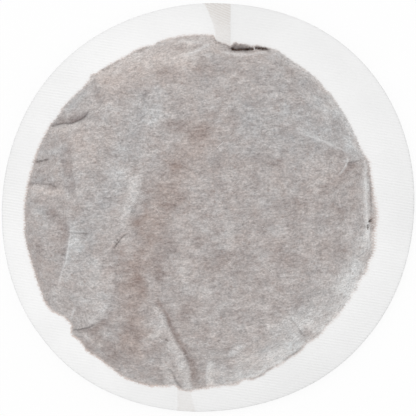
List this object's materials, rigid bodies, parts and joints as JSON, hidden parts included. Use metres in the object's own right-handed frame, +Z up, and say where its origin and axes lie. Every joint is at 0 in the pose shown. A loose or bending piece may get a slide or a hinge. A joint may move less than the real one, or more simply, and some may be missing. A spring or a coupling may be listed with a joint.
{
  "type": "coffee filter pack",
  "caption": "Round pillow of ground coffee sealed between soft discs of filter paper, with a flat embossed flange all round; lies flat in a brew basket.",
  "frame": {"origin": "on the surface the pack lies on, below the middle of its die-cut outline", "axes": "+Z up through the pillow, +X to the right and +Y away as the pack is seen from above"},
  "size_m": [0.1246, 0.1234, 0.0139],
  "materials": {
    "filter_paper": "soft matte nonwoven filter paper, taupe where coffee lies behind it and white in the pressed flange"
  },
  "bodies": {
    "root": {"filter_pack": "filter_paper"}
  },
  "joints": []
}
